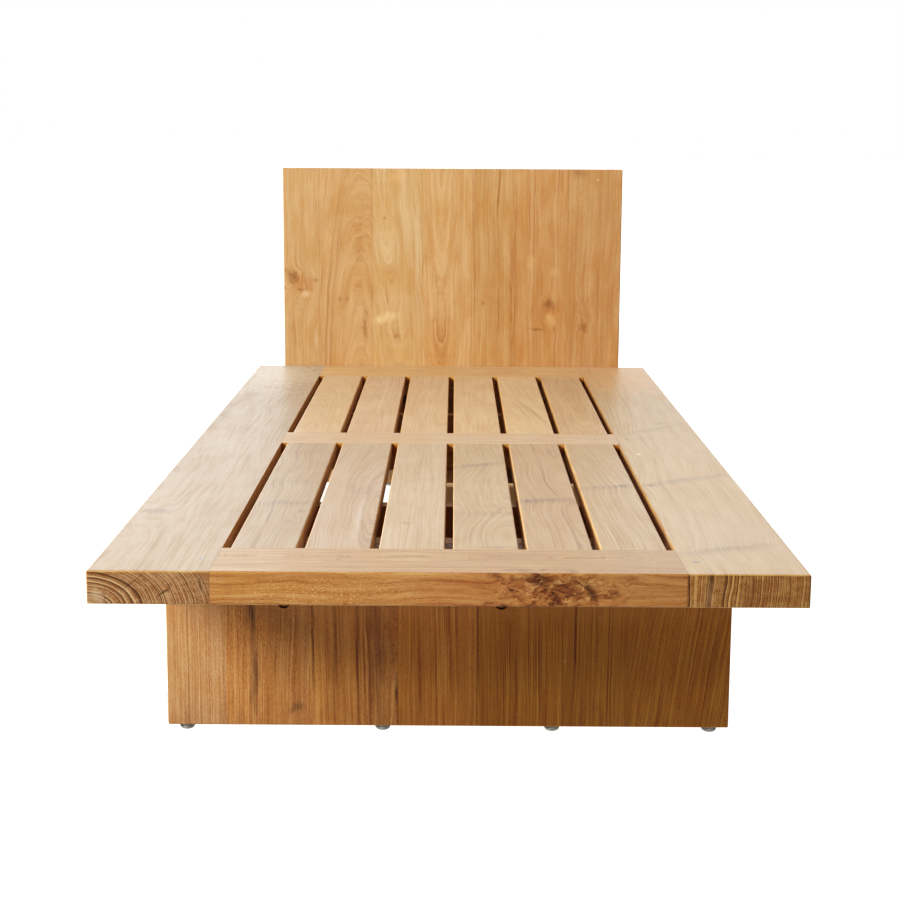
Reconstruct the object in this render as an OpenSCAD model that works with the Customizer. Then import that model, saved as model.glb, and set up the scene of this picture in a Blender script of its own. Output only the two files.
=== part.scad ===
// Outdoor daybed: a solid teak platform of two slatted bays, carried by a leg panel and a headboard.
// X runs across the bed, Y from its open end to its headboard, and Z = 0 is the ground.

/* [Deck frame] */
// Width over both side rails
deck_w = 1000; // [900:10:1200]
// Length from the front edge to the headboard
deck_l = 2000; // [1900:10:2200]
// Height of the deck's top above the ground
deck_h = 322; // [290:1:400]
// Thickness of the rails
frame_t = 48; // [42:1:56]
// Width of a side rail
side_rail_w = 170; // [120:1:200]
// Width of the front rail
front_rail_w = 129; // [100:1:160]
// Width of the rail between the bays
middle_rail_w = 111; // [90:1:140]
// Width of the rail at the headboard
rear_rail_w = 184; // [140:1:220]
// Length of the bay behind the front rail
front_bay_l = 808; // [700:1:900]
// Rounding of the deck's outer edges
deck_ease = 3; // [1:0.5:6]

/* [Slats] */
// Slats in each bay
slats_per_bay = 6; // [4:1:8]
// Gap beside each slat
slat_gap = 12; // [6:0.5:20]
// Thickness of a slat
slat_t = 28; // [22:1:34]
// Rounding of a slat's long edges
slat_ease = 2.5; // [1:0.5:5]
// Length of the tongue at each end of a slat
tongue_l = 12; // [8:1:20]
// Thickness of that tongue
tongue_t = 10; // [6:1:14]
// Step from a slat's long edge to its tongue
tongue_shoulder = 8; // [4:1:16]

/* [Rail joints] */
// Length of a rail's tenon
tenon_l = 40; // [30:1:60]
// Thickness of a rail's tenon
tenon_t = 16; // [12:1:20]
// Step from a rail's edge to its tenon
tenon_shoulder = 18; // [10:1:25]
// Clearance on every side of a tenon, tongue, dowel or insert in its hole
joint_fit = 0.15; // [0.05:0.05:0.4]
// Diameter of the steel pin through each tenon
pin_d = 10; // [6:1:12]
// Distance from a pin to the joint line
pin_inset = 20; // [15:1:25]
// Wood left under a pin's lower end
pin_floor = 9; // [5:1:12]

/* [Panels] */
// Width of the leg panel and of the headboard
panel_w = 870; // [820:5:960]
// Thickness of both panels
panel_t = 32; // [28:1:45]
// Distance from the deck's front edge to the leg panel
leg_setback = 238; // [180:1:300]
// Height of the headboard above the deck
headboard_rise = 510; // [350:5:650]
// Rounding of the panels' edges
panel_ease = 2.5; // [1:0.5:5]
// Thickness of the glue between two staves
glue_t = 0.2; // [0.1:0.1:0.4]

/* [Cross members and bearers] */
// Thickness of the leg rail, head rail and bearers
member_t = 35; // [30:1:50]
// Depth of the leg rail and head rail below the deck frame
member_drop = 108; // [100:1:130]
// How far the leg rail and head rail end short of the panels' sides
member_inset = 35; // [20:1:50]
// Depth of the long bearers below the deck frame
bearer_drop = 60; // [50:1:80]
// Thickness of the batten in the middle of each bay
batten_t = 30; // [24:1:40]
// Depth of that batten below the slats
batten_h = 126; // [110:1:140]
// Length of a batten's tenon in the bearer
batten_tenon_l = 20; // [12:1:25]
// Thickness of that tenon
batten_tenon_t = 12; // [8:1:16]
// Step from the batten's shared height with the bearer to its tenon
batten_shoulder = 6; // [3:1:10]
// Diameter of the dowels at the bearers' ends
dowel_d = 10; // [8:1:12]
// Length of those dowels
dowel_l = 50; // [36:2:56]
// Distance between the two dowels of one end
dowel_pitch = 30; // [20:1:36]

/* [Bolts and screws] */
// Diameter of the connector bolts
bolt_d = 8; // [6:1:10]
// Diameter of their flat heads, and of the sleeve nuts' flanges
bolt_head_d = 17; // [14:1:18]
// Thickness of those heads and flanges
bolt_head_t = 3; // [2:0.5:4]
// Diameter of the recess round a bolt's head
recess_d = 20; // [19:1:24]
// Depth of the recess on the panel's face
recess_depth = 8; // [4:0.5:10]
// Depth of the recess behind the leg rail and head rail
nut_recess_depth = 6; // [4:0.5:10]
// Clearance round a bolt in the wood
bolt_clearance = 0.3; // [0.2:0.1:0.6]
// Outer diameter of a sleeve nut
sleeve_d = 11; // [11:0.5:13]
// Length of a sleeve nut's sleeve
sleeve_l = 20; // [14:1:24]
// Gap between a bolt's end and the bottom of its nut
bolt_end_gap = 5; // [2:1:8]
// Depth of the lower bolts under the deck frame
lower_bolt_drop = 66; // [60:1:70]
// Depth of the upper bolts under the deck frame
upper_bolt_drop = 36; // [28:1:40]
// Diameter of the barrel nuts in the rear rail
barrel_d = 12; // [12:1:14]
// Length of the barrel nuts
barrel_l = 26; // [20:1:28]
// Distance of the barrel nuts from the headboard
barrel_setback = 48; // [45:1:60]
// Bolt length past the middle of its barrel nut
barrel_overrun = 11; // [8:1:14]
// Diameter of the screws up into the slats
slat_screw_d = 4; // [3:0.5:5]
// Length of a slat screw in the slat
slat_screw_bite = 15; // [10:1:20]
// Wood between a slat screw's head and the slat
slat_screw_grip = 50; // [35:1:65]
// Diameter of the screws up into the side rails
frame_screw_d = 6; // [5:0.5:8]
// Length of a frame screw in the side rail
frame_screw_bite = 26; // [20:1:34]
// Wood between a frame screw's head and the side rail
frame_screw_grip = 30; // [20:1:40]
// Thickness of both kinds of screw head
screw_head_t = 3; // [2:0.5:4]
// Clearance round a screw's shank
screw_clearance = 0.2; // [0.1:0.1:0.5]

/* [Levelling glides] */
// Diameter of the nylon foot
glide_d = 24; // [20:1:28]
// Height of the nylon foot
glide_h = 10; // [8:0.5:14]
// Rounding of the foot's lower edge
glide_round = 5.5; // [3:0.5:7]
// Diameter of the steel stem
stem_d = 8; // [6:1:10]
// Length of the stem above the foot
stem_l = 26; // [22:1:34]
// Length of the stem moulded into the foot
stem_root = 5; // [3:0.5:6]
// Running clearance round the stem in its insert
stem_fit = 0.06; // [0.02:0.01:0.1]
// Outer diameter of the insert
insert_d = 12; // [12:1:14]
// Length of the insert
insert_l = 18; // [14:1:20]
// Free depth above the stem
stem_room = 9; // [4:1:15]
// Distance from a panel's side to its outer glides
glide_inset = 28; // [20:1:40]
// Place of the left inner glide of the front panel, from the middle
inner_glide_left = -102; // [-140:1:-90]
// Place of its right inner glide, from the middle
inner_glide_right = 162; // [120:1:170]

/* [Hidden] */
$fn = 48;
cut = 1;

// Distances of the glue lines from each panel's left side, read from the grain
leg_glue_lines = [90, 220, 356.5, 479, 610.5, 712];
headboard_glue_lines = [92, 228, 358, 486, 598, 732];
// Places of the bolts across a panel, from its middle, low and high by turns
bolt_x = [-253, -120, 81, 248];

// Heights
frame_z = deck_h - frame_t;
slat_z = deck_h - slat_t;
panel_z = glide_h;
headboard_top = deck_h + headboard_rise;
member_z = frame_z - member_drop;
bearer_z = frame_z - bearer_drop;
batten_z = slat_z - batten_h;
tenon_z = frame_z + (frame_t - tenon_t) / 2;
tongue_z = slat_z + (slat_t - tongue_t) / 2;
pin_z = frame_z + pin_floor;

// Places along Y, with the whole length centred
front_y = -(deck_l + panel_t) / 2;
deck_back_y = front_y + deck_l;
front_bay_y = front_y + front_rail_w;
middle_rail_y = front_bay_y + front_bay_l;
rear_bay_y = middle_rail_y + middle_rail_w;
rear_rail_y = deck_back_y - rear_rail_w;
rear_bay_l = rear_rail_y - rear_bay_y;
leg_y = front_y + leg_setback;
leg_rail_y = leg_y + panel_t;
bearer_y = leg_rail_y + member_t;
head_rail_y = deck_back_y - member_t;
bearer_l = head_rail_y - bearer_y;
front_batten_y = front_bay_y + (front_bay_l - batten_t) / 2;
rear_batten_y = rear_bay_y + (rear_bay_l - batten_t) / 2;

// Widths
bay_w = deck_w - 2 * side_rail_w;
slat_w = (bay_w - (slats_per_bay + 1) * slat_gap) / slats_per_bay;
member_l = panel_w - 2 * member_inset;
glide_x = [-panel_w / 2 + glide_inset, inner_glide_left, inner_glide_right, panel_w / 2 - glide_inset];

// Holes
bolt_hole_d = bolt_d + 2 * bolt_clearance;
sleeve_hole_d = sleeve_d + 2 * joint_fit;
slat_screw_head_d = 2 * slat_screw_d;
frame_screw_head_d = 2 * frame_screw_d;
screw_recess_gap = 1;
screw_places = [
    for (bay = [[front_bay_y, front_bay_l], [rear_bay_y, rear_bay_l]], side = [-1, 1])
        bay[0] + bay[1] / 2 + side * bay[1] / 6
];

teak_rail = "#c89a62";
teak_slat = "#cda570";
teak_panel = "#bd8748";
teak_under = "#a4743f";
steel = "#8f8a80";
bronze = "#9a7a4e";
nylon = "#a9a6a0";

slat_numbers = [1:slats_per_bay];
glide_numbers = [1:len(glide_x)];

// A rectangle from the origin with its four corners rounded.
module eased_rect(size, r) {
    difference() {
        square(size);
        for (x = [0, 1], y = [0, 1])
            translate([x * size[0], y * size[1]])
                mirror([x, 0])
                    mirror([0, y])
                        difference() {
                            translate([-cut, -cut])
                                square(r + cut);
                            translate([r, r])
                                circle(r);
                        }
    }
}

// A block from the origin with all its edges rounded, as a sander leaves them.
module eased_block(size, r) {
    intersection() {
        linear_extrude(size[2])
            eased_rect([size[0], size[1]], r);
        translate([0, size[1], 0])
            rotate([90, 0, 0])
                linear_extrude(size[1])
                    eased_rect([size[0], size[2]], r);
        rotate([90, 0, 90])
            linear_extrude(size[0])
                eased_rect([size[1], size[2]], r);
    }
}

// What of its children lies between two corners.
module between(low, high) {
    intersection() {
        children();
        translate(low)
            cube(high - low);
    }
}

// A block centred on its own X and Z, and running along Y from its origin.
module tongue(w, l, t) {
    translate([-w / 2, 0, 0])
        cube([w, l, t]);
}

// A cylinder along +Y from its origin.
module along_y(d, l) {
    rotate([-90, 0, 0])
        cylinder(d = d, h = l);
}

module deck_block() {
    translate([-deck_w / 2, front_y, frame_z])
        eased_block([deck_w, deck_l, frame_t], deck_ease);
}

// The middle of each slat across the bed.
function slat_x(i) = -bay_w / 2 + slat_gap + (i - 1) * (slat_w + slat_gap) + slat_w / 2;

// Every cross rail, as its place along Y and its width.
rails = [[front_y, front_rail_w], [middle_rail_y, middle_rail_w], [rear_rail_y, rear_rail_w]];

// The tenon space of one rail on the right, larger by fit on every side.
module rail_tenon(rail, fit) {
    translate([bay_w / 2 - cut, rail[0] + tenon_shoulder - fit, tenon_z - fit])
        cube([cut + tenon_l + fit, rail[1] - 2 * (tenon_shoulder - fit), tenon_t + 2 * fit]);
}

module pin_at(rail, d, low, high) {
    translate([bay_w / 2 + pin_inset, rail[0] + rail[1] / 2, low])
        cylinder(d = d, h = high - low);
}

module side_rail() {
    difference() {
        between([bay_w / 2, front_y, frame_z], [deck_w / 2, deck_back_y, deck_h])
            deck_block();
        for (rail = rails) {
            rail_tenon(rail, joint_fit);
            pin_at(rail, pin_d + 2 * joint_fit, pin_z - joint_fit, deck_h + cut);
        }
        for (y = screw_places)
            translate([bay_w / 2 + member_t / 2, y, frame_z - cut])
                cylinder(d = frame_screw_d + 2 * screw_clearance, h = cut + frame_screw_bite + joint_fit);
    }
}

module side_rail_right() {
    color(teak_rail)
        side_rail();
}

module side_rail_left() {
    color(teak_rail)
        mirror([1, 0, 0])
            side_rail();
}

// A cross rail with its two tenons, drilled for the pins.
module cross_rail(rail) {
    difference() {
        union() {
            between([-bay_w / 2, rail[0], frame_z], [bay_w / 2, rail[0] + rail[1], deck_h])
                deck_block();
            for (side = [0, 1])
                mirror([side, 0, 0])
                    rail_tenon(rail, 0);
        }
        for (side = [0, 1])
            mirror([side, 0, 0])
                pin_at(rail, pin_d + 2 * joint_fit, frame_z, deck_h);
        children();
    }
}

// The mortises for the slats' tongues, cut towards +Y from a rail's edge at y.
module tongue_mortises(y) {
    for (i = slat_numbers)
        translate([slat_x(i), y, tongue_z - joint_fit])
            tongue(slat_w - 2 * (tongue_shoulder - joint_fit), tongue_l + joint_fit, tongue_t + 2 * joint_fit);
}

module front_rail() {
    color(teak_rail)
        cross_rail(rails[0])
            tongue_mortises(front_bay_y - tongue_l - joint_fit);
}

module middle_rail() {
    color(teak_rail)
        cross_rail(rails[1]) {
            tongue_mortises(middle_rail_y);
            tongue_mortises(rear_bay_y - tongue_l - joint_fit);
        }
}

module rear_rail() {
    color(teak_rail)
        cross_rail(rails[2]) {
            tongue_mortises(rear_rail_y);
            at_rear_rail_bolts()
                along_y(bolt_hole_d, barrel_setback + barrel_overrun + bolt_clearance);
            at_barrels()
                translate([0, 0, -cut])
                    cylinder(d = barrel_d + 2 * joint_fit, h = cut + (frame_t + barrel_l) / 2 + joint_fit);
        }
}

// One slat of the bay that starts at y and is l long, with its tongues and its screw hole.
module slat(i, y, l) {
    color(teak_slat)
        translate([slat_x(i), y, 0])
            difference() {
                union() {
                    translate([-slat_w / 2, l, slat_z])
                        rotate([90, 0, 0])
                            linear_extrude(l)
                                eased_rect([slat_w, slat_t], slat_ease);
                    translate([0, -tongue_l, tongue_z])
                        tongue(slat_w - 2 * tongue_shoulder, l + 2 * tongue_l, tongue_t);
                }
                translate([0, l / 2, slat_z - cut])
                    cylinder(d = slat_screw_d + 2 * screw_clearance, h = cut + slat_screw_bite + joint_fit);
            }
}

// The staves of a panel: its children cut at the glue lines.
module staves(glue_lines) {
    edges = concat([0], glue_lines, [panel_w]);
    for (i = [0:len(glue_lines)]) {
        left = edges[i] + (i == 0 ? 0 : glue_t / 2);
        right = edges[i + 1] - (i == len(glue_lines) ? 0 : glue_t / 2);
        intersection() {
            children();
            translate([left - panel_w / 2, -overall_l, 0])
                cube([right - left, 2 * overall_l, 2 * headboard_top]);
        }
    }
}
overall_l = deck_l + panel_t;

// The insert's hole and the stem's free room, up from a panel's lower end.
module insert_holes(xs, y) {
    for (x = xs)
        translate([x, y, panel_z - cut]) {
            cylinder(d = insert_d + 2 * joint_fit, h = cut + insert_l + joint_fit);
            cylinder(d = stem_d + 2, h = cut + stem_l + stem_room);
        }
}

module leg_panel() {
    color(teak_panel)
        staves(leg_glue_lines)
            difference() {
                translate([-panel_w / 2, leg_y, panel_z])
                    eased_block([panel_w, panel_t, slat_z - panel_z], panel_ease);
                for (side = [0, 1])
                    mirror([side, 0, 0])
                        translate([bay_w / 2, leg_y - cut, frame_z])
                            cube([deck_w, panel_t + 2 * cut, frame_t]);
                at_leg_bolts()
                    panel_bolt_hole();
                insert_holes(glide_x, leg_y + panel_t / 2);
            }
}

module headboard() {
    color(teak_panel)
        staves(headboard_glue_lines)
            difference() {
                translate([-panel_w / 2, deck_back_y, panel_z])
                    eased_block([panel_w, panel_t, headboard_top - panel_z], panel_ease);
                at_headboard_bolts()
                    panel_bolt_hole();
                at_rear_rail_bolts()
                    translate([0, -panel_t, 0])
                        panel_bolt_hole();
                insert_holes(-glide_x, deck_back_y + panel_t / 2);
            }
}

// Where the bolts enter, each frame with +Y pointing into the wood behind the panel.
module at_leg_bolts() {
    for (i = [0:len(bolt_x) - 1])
        translate([bolt_x[i], leg_y, frame_z - (i % 2 == 0 ? lower_bolt_drop : upper_bolt_drop)])
            children();
}

module at_headboard_bolts() {
    for (i = [0:len(bolt_x) - 1])
        translate([bolt_x[i], overall_l / 2, frame_z - (i % 2 == 0 ? lower_bolt_drop : upper_bolt_drop)])
            mirror([0, 1, 0])
                children();
}

// The same for the bolts into the rear rail, from the rail's own back edge.
module at_rear_rail_bolts() {
    for (x = bolt_x)
        translate([x, deck_back_y, frame_z + frame_t / 2])
            mirror([0, 1, 0])
                children();
}

module at_barrels() {
    for (x = bolt_x)
        translate([x, deck_back_y - barrel_setback, frame_z])
            children();
}

// A bolt's recess and hole through a panel.
module panel_bolt_hole() {
    translate([0, -cut, 0])
        along_y(recess_d, cut + recess_depth);
    along_y(bolt_hole_d, panel_t + cut);
}

// The hole of a bolt and its sleeve nut through a cross member behind a panel.
module member_bolt_hole() {
    translate([0, panel_t - cut, 0])
        along_y(bolt_hole_d, member_t + 2 * cut);
    translate([0, panel_t + member_t - nut_recess_depth - sleeve_l - joint_fit, 0])
        along_y(sleeve_hole_d, sleeve_l + cut);
    translate([0, panel_t + member_t - nut_recess_depth, 0])
        along_y(recess_d, nut_recess_depth + cut);
}

// A flat-headed bolt whose head sits in the panel's recess, with a socket for a hexagon key.
module bolt(l) {
    translate([0, recess_depth, 0]) {
        difference() {
            translate([0, -bolt_head_t, 0])
                along_y(bolt_head_d, bolt_head_t);
            translate([0, -bolt_head_t - cut, 0])
                rotate([-90, 0, 0])
                    cylinder(d = bolt_d * 0.7, h = bolt_head_t, $fn = 6);
        }
        along_y(bolt_d, l);
    }
}

module sleeve_nut() {
    translate([0, panel_t + member_t - nut_recess_depth, 0])
        difference() {
            union() {
                along_y(bolt_head_d, bolt_head_t);
                translate([0, -sleeve_l, 0])
                    along_y(sleeve_d, sleeve_l + bolt_head_t / 2);
            }
            translate([0, -sleeve_l - cut, 0])
                along_y(bolt_d + 2 * joint_fit, sleeve_l + cut);
        }
}

member_bolt_l = panel_t + member_t - recess_depth - nut_recess_depth - bolt_end_gap;
rear_rail_bolt_l = panel_t - recess_depth + barrel_setback + barrel_overrun;

module leg_bolts() {
    color(bronze)
        at_leg_bolts()
            bolt(member_bolt_l);
}

module leg_nuts() {
    color(bronze)
        at_leg_bolts()
            sleeve_nut();
}

module headboard_bolts() {
    color(bronze)
        at_headboard_bolts()
            bolt(member_bolt_l);
}

module headboard_nuts() {
    color(bronze)
        at_headboard_bolts()
            sleeve_nut();
}

module rear_rail_bolts() {
    color(bronze)
        at_rear_rail_bolts()
            translate([0, -panel_t, 0])
                bolt(rear_rail_bolt_l);
}

module barrel_nuts() {
    color(steel)
        at_barrels()
            difference() {
                translate([0, 0, (frame_t - barrel_l) / 2])
                    cylinder(d = barrel_d, h = barrel_l);
                translate([0, -barrel_d, frame_t / 2])
                    along_y(bolt_d + 2 * joint_fit, 2 * barrel_d);
            }
}

// The dowels at one end of both bearers, as long again on each side of y.
module dowels_at(y, d, l) {
    for (side = [-1, 1], step = [-1, 1])
        translate([
            side * (bay_w + member_t) / 2,
            y - l / 2,
            bearer_z + bearer_drop / 2 + step * dowel_pitch / 2
        ])
            along_y(d, l);
}

module dowel_holes() {
    for (y = [bearer_y, head_rail_y])
        dowels_at(y, dowel_d + 2 * joint_fit, dowel_l + 2 * joint_fit);
}

module leg_rail() {
    color(teak_under)
        difference() {
            union() {
                translate([-member_l / 2, leg_rail_y, member_z])
                    cube([member_l, member_t, member_drop]);
                translate([-bay_w / 2, leg_rail_y, member_z])
                    cube([bay_w, member_t, slat_z - member_z]);
            }
            at_leg_bolts()
                member_bolt_hole();
            dowel_holes();
        }
}

module head_rail() {
    color(teak_under)
        difference() {
            translate([-member_l / 2, head_rail_y, member_z])
                cube([member_l, member_t, member_drop]);
            at_headboard_bolts()
                member_bolt_hole();
            dowel_holes();
        }
}

// A batten's tenon space at the right bearer, larger by fit on every side.
batten_tenon_low = max(bearer_z, batten_z) + batten_shoulder;
batten_tenon_h = frame_z - batten_shoulder - batten_tenon_low;
module batten_tenon(y, fit) {
    translate([bay_w / 2 - cut, y + (batten_t - batten_tenon_t) / 2 - fit, batten_tenon_low - fit])
        cube([cut + batten_tenon_l + fit, batten_tenon_t + 2 * fit, batten_tenon_h + 2 * fit]);
}

module bearer() {
    difference() {
        translate([bay_w / 2, bearer_y, bearer_z])
            cube([member_t, bearer_l, bearer_drop]);
        batten_tenon(front_batten_y, joint_fit);
        batten_tenon(rear_batten_y, joint_fit);
        dowel_holes();
        for (y = screw_places)
            translate([bay_w / 2 + member_t / 2, y, bearer_z - cut]) {
                cylinder(d = frame_screw_d + 2 * screw_clearance, h = bearer_drop + 2 * cut);
                cylinder(
                    d = frame_screw_head_d + 2 * screw_recess_gap,
                    h = cut + bearer_drop - frame_screw_grip
                );
            }
    }
}

module bearer_right() {
    color(teak_under)
        bearer();
}

module bearer_left() {
    color(teak_under)
        mirror([1, 0, 0])
            bearer();
}

// A batten under the slats, tenoned into both bearers and drilled for a screw under each slat.
module batten(y) {
    color(teak_under)
        difference() {
            union() {
                translate([-bay_w / 2, y, batten_z])
                    cube([bay_w, batten_t, batten_h]);
                for (side = [0, 1])
                    mirror([side, 0, 0])
                        batten_tenon(y, 0);
            }
            for (i = slat_numbers)
                translate([slat_x(i), y + batten_t / 2, batten_z - cut]) {
                    cylinder(d = slat_screw_d + 2 * screw_clearance, h = batten_h + 2 * cut);
                    cylinder(
                        d = slat_screw_head_d + 2 * screw_recess_gap,
                        h = cut + batten_h - slat_screw_grip
                    );
                }
        }
}

module front_batten() {
    batten(front_batten_y);
}

module rear_batten() {
    batten(rear_batten_y);
}

// A screw pointing up, with its head's upper face at the origin.
module screw(d, l) {
    translate([0, 0, -screw_head_t])
        cylinder(d = 2 * d, h = screw_head_t);
    translate([0, 0, -screw_head_t / 2])
        cylinder(d = d, h = l + screw_head_t / 2);
}

module slat_screws() {
    color(steel)
        for (i = slat_numbers, y = [front_batten_y, rear_batten_y])
            translate([slat_x(i), y + batten_t / 2, slat_z - slat_screw_grip])
                screw(slat_screw_d, slat_screw_grip + slat_screw_bite);
}

module frame_screws() {
    color(steel)
        for (side = [-1, 1], y = screw_places)
            translate([side * (bay_w + member_t) / 2, y, frame_z - frame_screw_grip])
                screw(frame_screw_d, frame_screw_grip + frame_screw_bite);
}

module tenon_pins() {
    color(steel)
        for (rail = rails, side = [0, 1])
            mirror([side, 0, 0])
                pin_at(rail, pin_d, pin_z, deck_h);
}

module bearer_dowels() {
    color(teak_slat)
        for (y = [bearer_y, head_rail_y])
            dowels_at(y, dowel_d, dowel_l);
}

module inserts(xs, y) {
    color(steel)
        for (x = xs)
            translate([x, y, panel_z])
                difference() {
                    cylinder(d = insert_d, h = insert_l);
                    translate([0, 0, -cut])
                        cylinder(d = stem_d + 2 * stem_fit, h = insert_l + 2 * cut);
                }
}

module front_inserts() {
    inserts(glide_x, leg_y + panel_t / 2);
}

module rear_inserts() {
    inserts(-glide_x, deck_back_y + panel_t / 2);
}

// Half of the foot's section: a disc with a rounded lower edge.
module glide_section() {
    difference() {
        square([glide_d / 2, glide_h]);
        translate([glide_d / 2 - glide_round, 0])
            difference() {
                translate([0, -cut])
                    square([glide_round + cut, glide_round + cut]);
                translate([0, glide_round])
                    circle(glide_round);
            }
    }
}

module glide(x, y) {
    color(nylon)
        translate([x, y, 0])
            difference() {
                rotate_extrude()
                    glide_section();
                translate([0, 0, glide_h - stem_root])
                    cylinder(d = stem_d + 2 * stem_fit, h = stem_root + cut);
            }
}

module stem(x, y) {
    color(steel)
        translate([x, y, glide_h - stem_root])
            cylinder(d = stem_d, h = stem_root + stem_l);
}

front_glide_y = leg_y + panel_t / 2;
rear_glide_y = deck_back_y + panel_t / 2;

side_rail_left();
side_rail_right();
front_rail();
middle_rail();
rear_rail();
for (i = slat_numbers) {
    slat(i, front_bay_y, front_bay_l);
    slat(i, rear_bay_y, rear_bay_l);
}
leg_panel();
headboard();
leg_rail();
head_rail();
bearer_left();
bearer_right();
front_batten();
rear_batten();
tenon_pins();
bearer_dowels();
slat_screws();
frame_screws();
leg_bolts();
leg_nuts();
headboard_bolts();
headboard_nuts();
rear_rail_bolts();
barrel_nuts();
front_inserts();
rear_inserts();
for (i = glide_numbers) {
    glide(glide_x[i - 1], front_glide_y);
    glide(-glide_x[i - 1], rear_glide_y);
    stem(glide_x[i - 1], front_glide_y);
    stem(-glide_x[i - 1], rear_glide_y);
}
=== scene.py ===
"""An outdoor daybed in solid teak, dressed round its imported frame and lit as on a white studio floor."""
import math

import bmesh
import bpy
from mathutils import Matrix, Vector


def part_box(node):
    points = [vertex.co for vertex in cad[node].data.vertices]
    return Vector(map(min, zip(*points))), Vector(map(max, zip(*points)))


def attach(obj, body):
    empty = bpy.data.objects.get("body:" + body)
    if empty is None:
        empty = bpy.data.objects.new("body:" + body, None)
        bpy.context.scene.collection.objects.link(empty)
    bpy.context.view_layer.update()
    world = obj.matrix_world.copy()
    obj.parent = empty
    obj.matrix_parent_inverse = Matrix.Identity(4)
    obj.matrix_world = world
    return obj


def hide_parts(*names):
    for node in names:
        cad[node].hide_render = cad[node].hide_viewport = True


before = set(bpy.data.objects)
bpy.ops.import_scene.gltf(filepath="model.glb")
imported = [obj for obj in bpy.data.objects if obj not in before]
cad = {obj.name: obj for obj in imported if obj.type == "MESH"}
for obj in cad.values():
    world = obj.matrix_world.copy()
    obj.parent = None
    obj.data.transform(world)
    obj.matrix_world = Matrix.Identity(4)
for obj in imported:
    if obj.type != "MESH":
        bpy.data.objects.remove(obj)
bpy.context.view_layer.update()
scene = bpy.context.scene

MM = 0.001

# Settings that many nodes share. A Mix node takes its two colours at inputs 6 and 7.
FIRST, SECOND = 6, 7
OF_COLOURS = {"out": 2, "data_type": "RGBA"}
SMOOTH = {"interpolation_type": "SMOOTHSTEP"}
ADD, SUBTRACT = {"operation": "ADD"}, {"operation": "SUBTRACT"}
MULTIPLY, MULTIPLY_ADD = {"operation": "MULTIPLY"}, {"operation": "MULTIPLY_ADD"}
LENGTH = {"operation": "LENGTH", "out": "Value"}


def linear(hex_colour):
    """An sRGB hex colour as Blender's linear colour."""
    parts = [int(hex_colour[i:i + 2], 16) / 255 for i in (1, 3, 5)]
    return (*[c / 12.92 if c <= 0.04045 else ((c + 0.055) / 1.055) ** 2.4 for c in parts], 1)


def node(tree, kind, inputs=None, out=0, stops=None, **settings):
    """Adds a node with its settings, ramp stops, values and links, and returns one of its outputs."""
    made = tree.nodes.new("ShaderNode" + kind)
    for name, value in settings.items():
        setattr(made, name, value)
    if stops:
        elements = made.color_ramp.elements
        while len(elements) < len(stops):
            elements.new(0.5)
        for element, (position, value) in zip(elements, stops):
            element.position = position
            element.color = value if hasattr(value, "__len__") else (value, value, value, 1)
    for key, value in (inputs or {}).items():
        if isinstance(value, bpy.types.NodeSocket):
            tree.links.new(value, made.inputs[key])
        else:
            made.inputs[key].default_value = value
    return made.outputs[out] if made.outputs else None


def new_material(name):
    material = bpy.data.materials.new(name)
    material.use_nodes = True
    material.node_tree.nodes.clear()
    return material, material.node_tree


# The camera, at the photograph's place and viewing angle
CAMERA_PLACE = Vector((0.00565, -3.15167, 0.91592))
CAMERA_PITCH = 0.16123
CAMERA_YAW = -0.00225
CAMERA_ROLL = 0.00546
CAMERA_LENS = 64.08
CAMERA_SENSOR = 36
CAMERA_SHIFT = -0.06

forward = Vector((
    math.sin(CAMERA_YAW) * math.cos(CAMERA_PITCH),
    math.cos(CAMERA_YAW) * math.cos(CAMERA_PITCH),
    -math.sin(CAMERA_PITCH),
))
level = forward.cross(Vector((0, 0, 1))).normalized()
upright = level.cross(forward)
right = level * math.cos(CAMERA_ROLL) + upright * math.sin(CAMERA_ROLL)
up = upright * math.cos(CAMERA_ROLL) - level * math.sin(CAMERA_ROLL)
camera = bpy.data.objects.new("camera", bpy.data.cameras.new("camera"))
scene.collection.objects.link(camera)
camera.matrix_world = Matrix.Translation(CAMERA_PLACE) @ Matrix((right, up, -forward)).transposed().to_4x4()
camera.data.lens = CAMERA_LENS
camera.data.sensor_width = CAMERA_SENSOR
camera.data.shift_y = CAMERA_SHIFT
scene.camera = camera

# The photograph's dark tones are printed a little darker and warmer than even light gives
TONES = ((0.05, 0.018), (0.1, 0.052), (0.2, 0.145), (0.3, 0.255), (0.42, 0.398), (0.6, 0.6))
ALL_CHANNELS = 3
scene.view_settings.view_transform = "Standard"
scene.view_settings.use_curve_mapping = True
tones = scene.view_settings.curve_mapping
for given, shown in TONES:
    tones.curves[ALL_CHANNELS].points.new(given, shown)
tones.update()


# The studio: a white floor and surround, brightest behind the bed, and a large soft key light from the left
FLOOR_SIZE = 120
FLOOR_GLOW, SHADE_GLOW = 1.0, 0.09
# The painted shade under the bed: along X (0) or Y (1), where it starts and where it is full, in metres
SHADE_EDGES = ((0, -0.13, 0.0), (0, 0.44, 0.34), (1, -0.72, -0.5), (1, 1.08, 1.03))
CARD_PLACE, CARD_SIZE = (0, 0.12, 0.0015), (0.94, 1.72, 1)
SURROUND, BACK_GLOW, BOUNCE = 0.14, 1.75, 0.8
LEFT_GLOW, RIGHT_GLOW = 1.7, 0.3


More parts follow.
